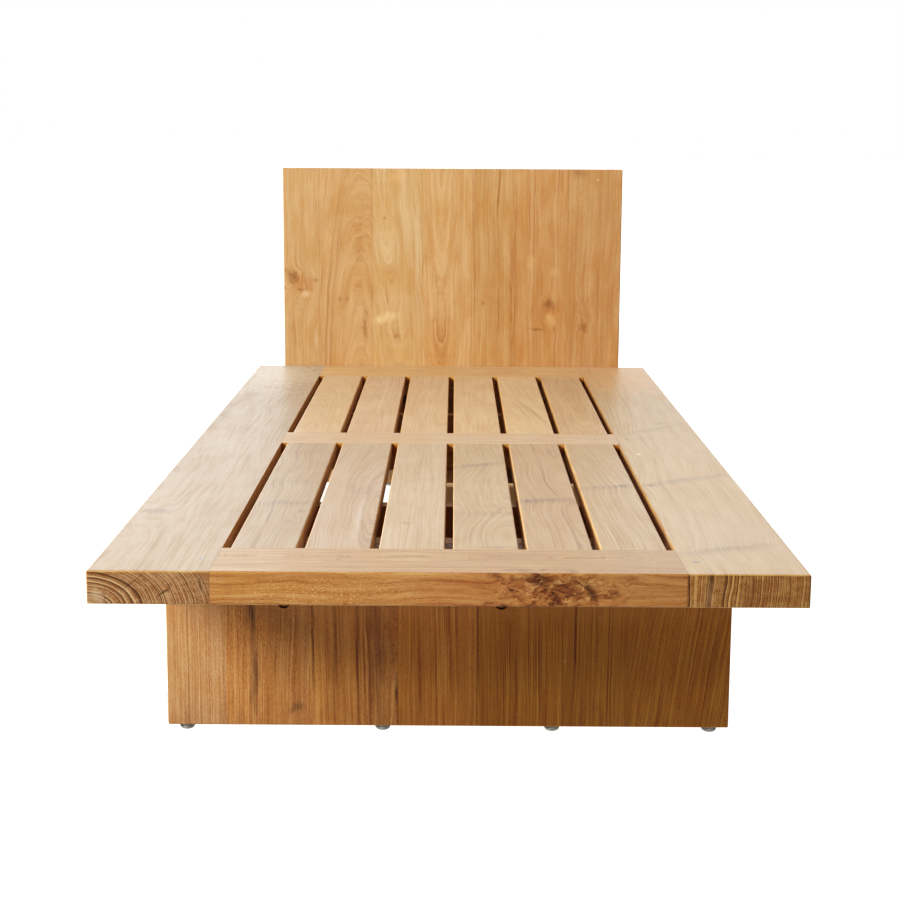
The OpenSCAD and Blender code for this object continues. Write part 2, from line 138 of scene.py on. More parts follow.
def studio_floor():
    """A white floor that glows, so the bed throws no shadow beside it, only a painted shade under its middle.
    """
    bpy.ops.mesh.primitive_plane_add(size=FLOOR_SIZE)
    floor = bpy.context.object
    floor.name = "studio_floor"
    material, tree = new_material("white_painted_floor")
    place = node(tree, "SeparateXYZ", {0: node(tree, "TexCoord", out="Object")}).node.outputs
    painted_shade_under_bed = 1.0
    for axis, start, full in SHADE_EDGES:
        fade = node(tree, "MapRange", {0: place[axis], 1: start, 2: full}, **SMOOTH)
        painted_shade_under_bed = node(tree, "Math", {0: painted_shade_under_bed, 1: fade}, **MULTIPLY)
    # Under the bed the glow drops and the colour turns brown: painted shade, warmed as if by light bounced
    # off the teak
    light = node(tree, "MapRange", {0: painted_shade_under_bed, 3: FLOOR_GLOW, 4: SHADE_GLOW})
    tint = {0: painted_shade_under_bed, FIRST: linear("#ffffff"), SECOND: linear("#d9c4a6")}
    colour = node(tree, "Mix", tint, **OF_COLOURS)
    paint = node(tree, "BsdfDiffuse", {"Color": colour})
    glow = node(tree, "Emission", {"Color": colour, "Strength": light})
    node(tree, "OutputMaterial", {"Surface": node(tree, "AddShader", {0: paint, 1: glow})})
    floor.data.materials.append(material)
    floor.visible_diffuse = False
    floor.visible_glossy = False


def shade_card():
    """A brown card on the floor under the bed, hidden from the camera. It keeps the underside dim."""
    bpy.ops.mesh.primitive_plane_add(size=1, location=CARD_PLACE)
    card = bpy.context.object
    card.name = "shade_card"
    card.scale = CARD_SIZE
    material, tree = new_material("brown_card")
    node(tree, "OutputMaterial", {"Surface": node(tree, "BsdfDiffuse", {"Color": linear("#7c6146")})})
    card.data.materials.append(material)
    card.visible_camera = False


def soft_box(name, place, aim, size, power):
    light = bpy.data.lights.new(name, "AREA")
    light.shape = "RECTANGLE"
    light.size, light.size_y = size
    light.energy = power
    lamp = bpy.data.objects.new(name, light)
    scene.collection.objects.link(lamp)
    lamp.location = place
    lamp.rotation_euler = (Vector(aim) - Vector(place)).to_track_quat("-Z", "Y").to_euler()


def studio_surround():
    """White, brightest low behind the bed, where the deck reflects it. The camera sees plain white."""
    world = bpy.data.worlds.new("white_surround")
    scene.world = world
    world.use_nodes = True
    tree = world.node_tree
    tree.nodes.clear()
    toward = node(tree, "SeparateXYZ", {0: node(tree, "TexCoord", out="Generated")}).node.outputs
    low = node(tree, "MapRange", {0: toward[2], 1: 0.9, 2: 0.4}, **SMOOTH)
    back = node(tree, "MapRange", {0: toward[1], 1: 0.0, 2: 0.6, 3: 0.0, 4: BACK_GLOW}, **SMOOTH)
    tilt = node(tree, "MapRange", {0: toward[0], 1: -0.5, 2: 0.5, 3: LEFT_GLOW, 4: RIGHT_GLOW})
    back = node(tree, "Math", {0: back, 1: tilt}, **MULTIPLY)
    upper = node(tree, "Math", {0: low, 1: back, 2: SURROUND}, **MULTIPLY_ADD)
    above = node(tree, "MapRange", {0: toward[2], 1: -0.3, 2: -0.04}, **SMOOTH)
    light = node(tree, "Mix", {0: above, 2: BOUNCE, 3: upper}, data_type="FLOAT")
    seen = node(tree, "LightPath", out="Is Camera Ray")
    light = node(tree, "Mix", {0: seen, 2: light, 3: 1.0}, data_type="FLOAT")
    sky = node(tree, "Background", {"Color": linear("#ffffff"), "Strength": light})
    node(tree, "OutputWorld", {"Surface": sky})


bpy.ops.object.select_all(action="DESELECT")
studio_floor()
shade_card()
studio_surround()
soft_box("key_box", (-4.4, -2.9, 3.05), (0, -0.3, 0.3), (2.0, 2.3), 500)
soft_box("top_box", (0.9, 0.5, 2.6), (0.1, 0.4, 0.3), (1.8, 1.4), 10)


# Teak. Each board is cut from its own log: its growth rings are tubes round a heart line, given in mm across
# the board, so the faces, the edges and the end grain agree wherever they meet.
ACROSS = {"X": (1, 2, 0), "Y": (0, 2, 1), "Z": (0, 1, 2)}
GROUND, BAND, WARM, LINE, PALE = "#e0bd93", "#d2ab7d", "#cf9f66", "#a36c3e", "#f0d8b8"
# The tone of the boards' sides. Their tops are toned darker and greyer: painted shade against stronger light
EDGE = "#efe4bc"
CROSSING_TONE, SEAM_TONE = "#5a3a28", "#6b4326"
# A burl's folds: between which noise values each comes in, its tone and its strength
BURL_FOLDS = ((0.44, 0.60, "#82481f", 0.85), (0.56, 0.68, "#42240f", 0.85), (0.42, 0.34, "#dfb27a", 0.5))

# Heights and places of faces and seams, in mm
DECK_TOP, HEADBOARD_FRONT, LEG_FRONT, RAIL_SEAM = 322.0, 984.0, -778.0, 330.0

# Sizes of the figure in mm, across, through and along a board. Real teak pores are about 0.3 mm wide and are
# drawn 0.9 mm wide, so that they show.
SWAY_SIZE, WOBBLE_SIZE, WOBBLE_RUN = (150, 70), (26, 26), 0.25
RAGGED_SIZE, BENT_SIZE, CURL_SIZE, FOLD_SIZE = (14, 14, 34), (46, 46, 90), (20, 14, 26), (17, 11, 20)
BROAD_SIZE, FADE_SIZE, STREAK_SIZE, MOTTLE_SIZE = (26, 60, 300), (13, 30, 120), (3.0, 14, 190), (30, 40, 90)
PORE_SIZE, FLECK_SIZE = (0.9, 1.8, 7.0), (1.6, 1.6, 4.4)
GRIT_SIZE, CLOUD_SIZE = (1.8, 1.8, 1.8), (16, 9, 40)

# How far they reach: ragged edges as a share of a mark, bent crossings and the curls of a burl in mm
RAGGED_REACH, BENT_REACH, CURL_REACH = 0.55, 12.0, 70.0
# A crossing's rings are rounded near its line, and its shade comes in before the line and goes out behind it
CROSSING_ROUND, SHADE_BEFORE, SHADE_BEHIND = 220.0, (-46.0, 2.0), (26.0, 4.0)
# How much of the darker band tone shows, and how strong the sheen of the cut fibres is
BAND_SHARE, FUZZ = 0.6, 0.2

# How dark the late wood is and how pale the early wood is, over one ring
LATE_WOOD = ((0.0, 0.55), (0.12, 0.06), (0.5, 0.04), (0.84, 1.0), (1.0, 0.6))
EARLY_WOOD = ((0.0, 0.8), (0.1, 1.0), (0.34, 0.0), (0.94, 0.0), (1.0, 0.8))
LATE_END_GRAIN = ((0.0, 0.0), (0.5, 0.1), (0.88, 1.0), (1.0, 0.6))
EARLY_END_GRAIN = ((0.0, 0.7), (0.08, 1.0), (0.24, 0.0), (0.96, 0.0), (1.0, 0.7))

# A ramp only holds values from 0 to 1, so a stave's values are kept as shares of a range: its size and least
STAVE_ACROSS, STAVE_BEHIND, STAVE_SEED, STAVE_LEAN = (1200.0, -600.0), (400.0, -200.0), 60.0, (1.0, -0.5)


def figure(tree, place, size, seed, out=0, **inputs):
    """Soft noise about 0.5 on a place in mm. Its patches have the given size across, through and along."""
    place = node(tree, "VectorMath", {0: place, 1: [1 / s for s in size], 2: seed}, **MULTIPLY_ADD)
    return node(tree, "TexNoise", {"Vector": place, "Scale": 1.0, **inputs}, out=out)


def wander(tree, place, size, reach, seed, **inputs):
    """Moves a place by up to about reach mm, in swells of the given size."""
    swell = figure(tree, place, size, seed, "Color", **inputs)
    swell = node(tree, "VectorMath", {0: swell, 1: (2 * reach,) * 3, 2: (-reach,) * 3}, **MULTIPLY_ADD)
    return node(tree, "VectorMath", {0: place, 1: swell}, **ADD)


def oval(tree, place, ragged, middle, half, turn=0.0, softness=1.0):
    """1 in the middle of an oval and 0 outside it, with a ragged edge. Half sizes are across and along."""
    place = node(tree, "Mapping", {
        0: place, "Location": (*middle, 0), "Rotation": (0, 0, math.radians(turn)), "Scale": (*half, 1),
    }, vector_type="TEXTURE")
    place = node(tree, "VectorMath", {0: place, 1: ragged}, **ADD)
    away = node(tree, "VectorMath", {0: place}, **LENGTH)
    return node(tree, "MapRange", {0: away, 1: 1.0, 2: 1.0 - softness}, **SMOOTH)


def crossing(tree, across, along, middle, slope, half, push, reach, shade):
    """A line over the board where the grain turns: how far it pushes the rings, and how dark it is."""
    side = node(tree, "Math", {0: across, 1: middle[0]}, **SUBTRACT)
    line = node(tree, "Math", {0: side, 1: slope, 2: middle[1]}, **MULTIPLY_ADD)
    over = node(tree, "Math", {0: along, 1: line}, **SUBTRACT)
    far = node(tree, "Math", {0: over, 1: over, 2: CROSSING_ROUND}, **MULTIPLY_ADD)
    far = node(tree, "Math", {0: far}, operation="SQRT")
    near = node(tree, "Math", {0: math.exp(-1 / reach), 1: far}, operation="POWER")
    pushed = node(tree, "Math", {0: near, 1: push}, **MULTIPLY)
    width = node(tree, "MapRange", {0: side, 1: -half, 2: half, 3: -1.0, 4: 1.0})
    width = node(tree, "Math", {0: width, 1: width}, **MULTIPLY)
    width = node(tree, "Math", {0: width, 1: -shade, 2: shade}, **MULTIPLY_ADD)
    dark = node(tree, "MapRange", {0: over, 1: SHADE_BEFORE[0], 2: SHADE_BEFORE[1]}, **SMOOTH)
    behind = node(tree, "MapRange", {0: over, 1: SHADE_BEHIND[0], 2: SHADE_BEHIND[1]}, **SMOOTH)
    dark = node(tree, "Math", {0: dark, 1: behind}, **MULTIPLY)
    dark = node(tree, "Math", {0: dark, 1: dark}, **MULTIPLY)
    return pushed, node(tree, "Math", {0: dark, 1: width}, **MULTIPLY)


def stave_values(tree, across, staves, heart, seed):
    """Each stave of a panel is cut from its own board: its heart line, its seed, its lean and its tone."""
    start, end = staves[0][0], staves[-1][0]
    share = node(tree, "MapRange", {0: across, 1: start, 2: end})
    stops = ([], [], [])
    for i, (left, heart_a, heart_b, lean_a, lean_b, tone) in enumerate(staves[:-1]):
        at = (left - start) / (end - start)
        stops[0].append((at, (
            (heart_a - STAVE_ACROSS[1]) / STAVE_ACROSS[0],
            (heart_b - STAVE_BEHIND[1]) / STAVE_BEHIND[0],
            (i * 0.37 + 0.11) % 1,
            1,
        )))
        stops[1].append((at, (lean_a - STAVE_LEAN[1], lean_b - STAVE_LEAN[1], 0, 1)))
        stops[2].append((at, linear(tone)))
    ramps = [node(tree, "ValToRGB", {0: share}, stops=each) for each in stops]
    for ramp in ramps:
        ramp.node.color_ramp.interpolation = "CONSTANT"
    place = node(tree, "SeparateColor", {0: ramps[0]}).node.outputs
    lean = node(tree, "SeparateColor", {0: ramps[1]}).node.outputs
    values = []
    for value, size, least in (
        (place[0], *STAVE_ACROSS),
        (place[1], STAVE_BEHIND[0], heart[1] + STAVE_BEHIND[1]),
        (place[2], STAVE_SEED, seed),
        (lean[0], *STAVE_LEAN),
        (lean[1], *STAVE_LEAN),
    ):
        values.append(node(tree, "Math", {0: value, 1: size, 2: least}, **MULTIPLY_ADD))
    return (*values, ramps[2])


def log_radius(tree, warped, along, heart, lean, stretch):
    """The distance in mm from the log's heart line, which may lean as it runs along the board."""
    line = [node(tree, "Math", {0: along, 1: lean[i], 2: heart[i]}, **MULTIPLY_ADD) for i in (0, 1)]
    heart_line = node(tree, "CombineXYZ", {0: line[0], 1: line[1], 2: along})
    away = node(tree, "VectorMath", {0: warped, 1: heart_line}, **SUBTRACT)
    away = node(tree, "VectorMath", {0: away, 1: (1 / stretch, 1, 0)}, **MULTIPLY)
    return node(tree, "VectorMath", {0: away}, **LENGTH)


def growth_rings(tree, radius, ring, tighten, key):
    """Rings of uneven width: where a point lies in its ring, from 0 to 1, and how strong that year was."""
    pace = node(tree, "Math", {0: radius, 1: tighten, 2: 1 / ring}, **MULTIPLY_ADD)
    phase = node(tree, "Math", {0: radius, 1: pace}, **MULTIPLY)
    uneven = node(tree, "Math", {0: phase, 1: 0.37, 2: key}, **MULTIPLY_ADD)
    uneven = node(tree, "TexNoise", {"W": uneven, "Scale": 1.0, "Detail": 2.0}, noise_dimensions="1D")
    phase = node(tree, "Math", {0: uneven, 1: 3.2, 2: phase}, **MULTIPLY_ADD)
    part = node(tree, "Math", {0: phase}, operation="FRACT")
    count = node(tree, "Math", {0: phase}, operation="FLOOR")
    count = node(tree, "Math", {0: count, 1: key}, **ADD)
    return part, node(tree, "TexWhiteNoise", {"W": count}, noise_dimensions="1D", out="Value")


def lay_marks(tree, colour, place, ragged, grainy, marks):
    """Lays marks over a colour. Each is an oval's middle, half size and turn, its tone and its strength."""
    for middle, half, turn, tone, amount in marks:
        patch = oval(tree, place, ragged, middle, half, turn)
        patch = node(tree, "Math", {0: patch, 1: amount}, **MULTIPLY)
        patch = node(tree, "Math", {0: patch, 1: grainy}, use_clamp=True, **MULTIPLY)
        colour = node(tree, "Mix", {0: patch, FIRST: colour, SECOND: linear(tone)}, **OF_COLOURS)
    return colour


def burl_curls(tree, warped, board, shift, core):
    """Curls the rings where a burl's core is."""
    curl = figure(tree, board, CURL_SIZE, shift, "Color", Detail=3.0, Distortion=0.5)
    curl = node(tree, "VectorMath", {0: curl, 1: (0.5, 0.5, 0.5)}, **SUBTRACT)
    curl = node(tree, "VectorMath", {0: curl, "Scale": CURL_REACH}, operation="SCALE")
    curl = node(tree, "VectorMath", {0: curl, "Scale": core}, operation="SCALE")
    return node(tree, "VectorMath", {0: warped, 1: curl}, **ADD)


def burl_folds(tree, colour, warped, shift, core):
    """Lays a burl's dark and pale folds over a colour where its core is."""
    fold = figure(tree, warped, FOLD_SIZE, shift, Detail=4.0, Roughness=0.6)
    for low, high, tone, amount in BURL_FOLDS:
        patch = node(tree, "MapRange", {0: fold, 1: low, 2: high, 3: 0.0, 4: amount}, **SMOOTH)
        patch = node(tree, "Math", {0: patch, 1: core}, **MULTIPLY)
        colour = node(tree, "Mix", {0: patch, FIRST: colour, SECOND: linear(tone)}, **OF_COLOURS)
    return colour


def end_grain(tree, board, shift, part, year, tones):
    """A sawn end: gritty, with the rings as dark and pale lines. Its tones are ground, dark and pale."""
    ground, dark_tone, pale_tone = [linear(tone) for tone in tones]
    grit = figure(tree, board, GRIT_SIZE, shift, Detail=2.0)
    grit = node(tree, "MapRange", {0: grit, 1: 0.42, 2: 0.66, 3: 0.0, 4: 0.45})
    cloud = figure(tree, board, CLOUD_SIZE, shift, Detail=2.0)
    cloud = node(tree, "MapRange", {0: cloud, 1: 0.4, 2: 0.62, 3: 0.0, 4: 0.35})
    end = node(tree, "Mix", {0: cloud, FIRST: ground, SECOND: pale_tone}, **OF_COLOURS)
    end = node(tree, "Mix", {0: grit, FIRST: end, SECOND: dark_tone}, **OF_COLOURS)
    bright = node(tree, "Math", {0: year, 1: 0.85, 2: 0.3}, **MULTIPLY_ADD)
    for stops, tone in ((LATE_END_GRAIN, dark_tone), (EARLY_END_GRAIN, pale_tone)):
        line = node(tree, "ValToRGB", {0: part}, stops=stops)
        line = node(tree, "Math", {0: line, 1: bright}, **MULTIPLY)
        end = node(tree, "Mix", {0: line, FIRST: end, SECOND: tone}, **OF_COLOURS)
    return end


def teak(name, grain, heart, ring=5.0, tighten=0.0, lean=(0.0, 0.0), stretch=1.0, sway=9.0, run=420.0,
         wobble=2.5, seed=0.0, tone="#ffffff", edge=None, surface=DECK_TOP, rings=0.5, streaks=0.5, pores=0.4,
         fine=1.0, ends=("#a97a4d", "#5c3819", "#dcbc90"), knots=(), crossings=(), marks=(), end_marks=(),
         staves=None, burl=None, seams=False, flecks=None):
    """Teak, planed and sanded but not oiled: darker late wood in each ring, open pores that show as short
    dark dashes, golden brown straight on, and pale at a low angle, where cut fibres catch the light."""
    material, tree = new_material(name)
    spot = node(tree, "TexCoord", out="Object")
    spot = node(tree, "VectorMath", {0: spot, "Scale": 1 / MM}, operation="SCALE")
    parts = node(tree, "SeparateXYZ", {0: spot}).node.outputs
    first, second, third = ACROSS[grain]
    a, b, w = parts[first], parts[second], parts[third]
    board = node(tree, "CombineXYZ", {0: a, 1: b, 2: w})
    heart_a, heart_b, key, lean_a, lean_b, tint = *heart, seed, *lean, linear(tone)
    if staves:
        heart_a, heart_b, key, lean_a, lean_b, tint = stave_values(tree, parts[0], staves, heart, seed)
    shift = node(tree, "CombineXYZ", {0: key, 1: key, 2: key})
    facing = node(tree, "SeparateXYZ", {0: node(tree, "TexCoord", out="Normal")}).node.outputs
    # Faces that point up take the board's tone, the rest the edge tone. On the deck the tops are toned darker
    # and greyer than the sides to offset the light and sheen they catch: painted shade. On the cross members
    # the tops are lighter: painted light through the slats' gaps
    if edge:
        top_light_and_shade = node(tree, "MapRange", {0: facing[second], 1: 0.8, 2: 0.97})
        tint = node(tree, "Mix", {0: top_light_and_shade, FIRST: linear(edge), SECOND: tint}, **OF_COLOURS)

    # The board's face, unrolled over its edge, so that a mark goes round the corner
    rolled = node(tree, "Math", {0: b, 1: surface}, **SUBTRACT)
    rolled = node(tree, "Math", {0: a, 1: rolled}, **ADD)
    face = node(tree, "CombineXYZ", {0: rolled, 1: w})
    ragged = figure(tree, board, RAGGED_SIZE, shift, "Color", Detail=2.0)
    ragged = node(tree, "VectorMath", {
        0: ragged, 1: (2 * RAGGED_REACH, 2 * RAGGED_REACH, 0), 2: (-RAGGED_REACH, -RAGGED_REACH, 0),
    }, **MULTIPLY_ADD)

    # How the log wandered: a slow sway of its heart, a finer wobble, and the curls of a burl
    warped = wander(tree, board, (*SWAY_SIZE, run), sway, shift, Detail=1.0)
    warped = wander(tree, warped, (*WOBBLE_SIZE, WOBBLE_RUN * run), wobble, shift, Detail=2.0)
    if burl:
        core = oval(tree, face, ragged, *burl, softness=0.8)
        warped = burl_curls(tree, warped, board, shift, core)
    radius = log_radius(tree, warped, w, (heart_a, heart_b), (lean_a, lean_b), stretch)

    # Knots and crossings push the rings aside
    for middle, half, push in knots:
        swell = oval(tree, face, ragged, middle, half)
        radius = node(tree, "Math", {0: swell, 1: push, 2: radius}, **MULTIPLY_ADD)
    smudges = []
    if crossings:
        bent = wander(tree, board, BENT_SIZE, BENT_REACH, shift)
        along = node(tree, "SeparateXYZ", {0: bent}).node.outputs[2]
        for values in crossings:
            pushed, smudge = crossing(tree, a, along, *values)
            radius = node(tree, "Math", {0: radius, 1: pushed}, **ADD)
            smudges.append(smudge)
    part, year = growth_rings(tree, radius, ring, tighten, key)

    # Broad patches, warm mottling, long streaks and short pores all run along the rings
    flow = node(tree, "CombineXYZ", {0: radius, 1: b, 2: w})
    broad = figure(tree, flow, BROAD_SIZE, shift, Detail=2.0)
    broad = node(tree, "MapRange", {0: broad, 1: 0.32, 2: 0.68}, **SMOOTH)
    long = figure(tree, flow, STREAK_SIZE, shift, Detail=3.0, Roughness=0.62)
    streak = node(tree, "MapRange", {0: long, 1: 0.42, 2: 0.68}, **SMOOTH)
    short = figure(tree, flow, [size * fine for size in PORE_SIZE], shift, Detail=1.0)
    pore = node(tree, "MapRange", {0: short, 1: 0.56, 2: 0.7}, **SMOOTH)
    mottle = figure(tree, flow, MOTTLE_SIZE, shift, Detail=3.0, Roughness=0.6)
    warm = node(tree, "MapRange", {0: mottle, 1: 0.4, 2: 0.66, 3: 0.0, 4: 0.5}, **SMOOTH)
    share = node(tree, "Math", {0: year, 1: 0.4 * BAND_SHARE}, **MULTIPLY)
    share = node(tree, "Math", {0: broad, 1: BAND_SHARE, 2: share}, **MULTIPLY_ADD)
    colour = node(tree, "Mix", {0: share, FIRST: linear(GROUND), SECOND: linear(BAND)}, **OF_COLOURS)
    colour = node(tree, "Mix", {0: warm, FIRST: colour, SECOND: linear(WARM)}, **OF_COLOURS)

    # Each ring fades in and out along the board, with dark late wood and pale early wood
    fade = figure(tree, flow, FADE_SIZE, shift, Detail=1.0)
    fade = node(tree, "MapRange", {0: fade, 1: 0.36, 2: 0.62})
    strong = node(tree, "Math", {0: year, 1: year}, **MULTIPLY)
    strong = node(tree, "Math", {0: strong, 1: 1.1 * rings, 2: 0.12 * rings}, **MULTIPLY_ADD)
    strong = node(tree, "Math", {0: strong, 1: fade}, **MULTIPLY)
    dark = node(tree, "ValToRGB", {0: part}, stops=LATE_WOOD)
    dark = node(tree, "Math", {0: dark, 1: strong}, **MULTIPLY)
    dark = node(tree, "Math", {0: streak, 1: 0.35 * streaks, 2: dark}, **MULTIPLY_ADD)
    dark = node(tree, "Math", {0: pore, 1: 0.5 * pores, 2: dark}, use_clamp=True, **MULTIPLY_ADD)
    colour = node(tree, "Mix", {0: dark, FIRST: colour, SECOND: linear(LINE)}, **OF_COLOURS)
    thin = node(tree, "MapRange", {0: long, 1: 0.44, 2: 0.3, 3: 0.0, 4: 0.5 * streaks})
    light = node(tree, "ValToRGB", {0: part}, stops=EARLY_WOOD)
    light = node(tree, "Math", {0: light, 1: strong}, **MULTIPLY)
    light = node(tree, "Math", {0: light, 1: 0.7, 2: thin}, use_clamp=True, **MULTIPLY_ADD)
    colour = node(tree, "Mix", {0: light, FIRST: colour, SECOND: linear(PALE)}, **OF_COLOURS)
    if flecks:
        middle, half, amount = flecks
        dash = figure(tree, board, FLECK_SIZE, shift, Detail=1.0)
        dash = node(tree, "MapRange", {0: dash, 1: 0.55, 2: 0.65, 3: 0.0, 4: amount})
        dash = node(tree, "Math", {0: dash, 1: oval(tree, face, ragged, middle, half)}, **MULTIPLY)
        colour = node(tree, "Mix", {0: dash, FIRST: colour, SECOND: linear(PALE)}, **OF_COLOURS)
    tinted = {0: 1.0, FIRST: colour, SECOND: tint}
    colour = node(tree, "Mix", tinted, blend_type="MULTIPLY", **OF_COLOURS)

    # Marks, crossings and burls stain the board. Some marks are painted light and shade, noted where they are
    # listed
    grainy = node(tree, "MapRange", {0: long, 1: 0.3, 2: 0.7, 3: 0.5, 4: 1.3})
    colour = lay_marks(tree, colour, face, ragged, grainy, marks)
    for smudge in smudges:
        smudge = node(tree, "Math", {0: smudge, 1: grainy}, **MULTIPLY)
        stain = {0: smudge, FIRST: colour, SECOND: linear(CROSSING_TONE)}
        colour = node(tree, "Mix", stain, **OF_COLOURS)
    if burl:
        colour = burl_folds(tree, colour, warped, shift, core)

    # End grain, on the sawn ends only
    sawn = node(tree, "Math", {0: facing[third]}, operation="ABSOLUTE")
    sawn = node(tree, "MapRange", {0: sawn, 1: 0.75, 2: 0.95}, **SMOOTH)
    end = end_grain(tree, board, shift, part, year, ends)
    end_face = node(tree, "CombineXYZ", {0: a, 1: b})
    end = lay_marks(tree, end, end_face, ragged, 1.0, end_marks)
    colour = node(tree, "Mix", {0: sawn, FIRST: colour, SECOND: end}, **OF_COLOURS)
    if seams:
        gap = node(tree, "Math", {0: parts[0]}, operation="ABSOLUTE")
        gap = node(tree, "Math", {0: gap, 1: RAIL_SEAM}, **SUBTRACT)
        gap = node(tree, "Math", {0: gap}, operation="ABSOLUTE")
        gap = node(tree, "MapRange", {0: gap, 1: 0.4, 2: 1.4, 3: 0.55, 4: 0.0})
        colour = node(tree, "Mix", {0: gap, FIRST: colour, SECOND: linear(SEAM_TONE)}, **OF_COLOURS)
    height = node(tree, "Math", {0: pore, 1: -0.6, 2: streak}, **MULTIPLY_ADD)
    node(tree, "OutputMaterial", {"Surface": node(tree, "BsdfPrincipled", {
        "Base Color": colour,
        "Roughness": node(tree, "MapRange", {0: streak, 3: 0.4, 4: 0.5}),
        "Normal": node(tree, "Bump", {"Height": height, "Strength": 0.12, "Distance": 0.4 * MM}),
        "IOR": 1.5,
        "Sheen Weight": FUZZ,
        "Sheen Roughness": 0.5,
    })})
    return material


def dress(material, *names):
    for name in names:
        cad[name].data.materials.clear()
        cad[name].data.materials.append(material)


# The boards. Places on a board's face are given across and then along it, in mm.
# A knot: its middle, its half size and how far it pushes the rings.
# A crossing: its middle, slope, half width, push, the reach of that along the board, and its shade.
# A mark: its middle, half size and turn in degrees, its tone and its strength.
dress(teak(
    "teak_left_plank", "Y", (-500, 262), ring=25, tighten=0.0016, lean=(0.0, -0.004), stretch=1.47, sway=7,
    wobble=2.2, seed=3.0, tone="#b9b8ae", edge=EDGE, rings=0.4, streaks=0.35, pores=0.25,
    knots=[((-475, -668), (60, 120), 9), ((-408, 325), (40, 60), 5)],
    crossings=[((-470, -650), 0.03, 70, 3, 80, 0.15)],
    marks=[
        ((-462, -664), (34, 22), 4, "#5c4434", 0.4), ((-408, 322), (20, 20), 3, "#4e4640", 0.4),
        # The wide pale patch over the whole plank at its far end, (-415, 840), is a painted sheen
        ((-362, 650), (34, 250), 0, "#8a5a2c", 0.2), ((-415, 840), (180, 400), 0, "#fff0d0", 0.28),
    ],
    end_marks=[
        ((-486, 286), (20, 16), 0, "#dcc4a4", 0.45), ((-474, 284), (1.6, 14), 12, "#5a3a20", 0.5),
        ((-478, 289), (16, 1.4), 3, "#5a3a20", 0.45), ((-392, 293), (18, 2.6), 34, "#3f2310", 0.8),
        ((-436, 306), (24, 1.8), 40, "#4f2f18", 0.55), ((-342, 302), (3, 14), 8, "#3f2410", 0.6),
    ],
), "side_rail_left")
dress(teak(
    "teak_right_plank", "Y", (298, 300), ring=13, tighten=0.00016, lean=(0.02, 0.0), stretch=0.55, sway=8,
    wobble=2.6, seed=8.0, tone="#d6d4be", edge=EDGE, rings=0.45, streaks=0.35, pores=0.25,
    ends=("#a9763f", "#573312", "#dab478"),
    crossings=[
        ((402, -880), 0.42, 95, 20, 50, 0.34), ((415, -398), 0.6, 100, 22, 60, 0.34),
        ((420, 95), 0.9, 90, 18, 50, 0.26),
    ],
    marks=[
        ((345, -448), (16, 18), 0, "#4a3a44", 0.45), ((440, 160), (30, 20), 40, "#5a402c", 0.3),
        # The two wide patches over the whole plank are painted light: the pale one near the front, (415,
        # -820), a painted sheen, and the orange one at the far end, (415, 820), the painted reflection of the
        # headboard
        ((356, -176), (7, 14), 0, "#f4e8d8", 0.6), ((415, -820), (220, 320), 0, "#dcd6e0", 0.08),
        ((415, 820), (220, 460), 0, "#ffae3c", 0.33),
    ],
    end_marks=[((432, 296), (22, 30), 0, "#8a5526", 0.3), ((360, 290), (14, 30), 0, "#caa880", 0.3)],
), "side_rail_right")
dress(teak(
    "teak_front_rail", "X", (-930, 352), ring=5.0, sway=9, run=200, wobble=2.2, seed=5.0, tone="#c8ba94",
    edge="#e7d2ac", rings=0.8, streaks=0.9, pores=0.9, burl=((-1044, 150), (66, 128)), seams=True,
    flecks=((-1046, -160), (36, 250), 0.85),
    marks=[
        ((-1040, 330), (80, 460), 0, "#8a5a38", 0.25), ((-1040, 50), (80, 200), 0, "#b4643c", 0.2),
        ((-947, -156), (8, 7), 0, "#5a3212", 0.5), ((-1000, 95), (14, 30), 0, "#4f3222", 0.4),
        ((-1036, 160), (26, 64), -8, "#6e4220", 0.55), ((-1024, 124), (20, 22), 0, "#3a1a0a", 0.95),
        ((-1044, 198), (22, 9), -24, "#3a1a0a", 0.9), ((-1052, 227), (15, 26), 0, "#c58f55", 0.9),
        ((-1029, 148), (2.6, 46), 24, "#3a1c0c", 0.8), ((-1040, 152), (2.2, 50), 19, "#4a2612", 0.7),
        ((-1034, 186), (2.4, 34), 34, "#3a1c0c", 0.8), ((-1048, 168), (2.2, 30), -14, "#4a2612", 0.7),
        ((-1024, 104), (2.0, 30), 12, "#54301a", 0.6),
    ],
), "front_rail")
dress(teak(
    "teak_middle_rail", "X", (-40, 250), seed=11.0, tone="#e0dedb", edge=EDGE, rings=0.4, seams=True,
), "middle_rail")
dress(teak(
    "teak_rear_rail", "X", (900, 240), seed=14.0, tone="#ebdfa9", edge=EDGE, rings=0.4, seams=True,
), "rear_rail")

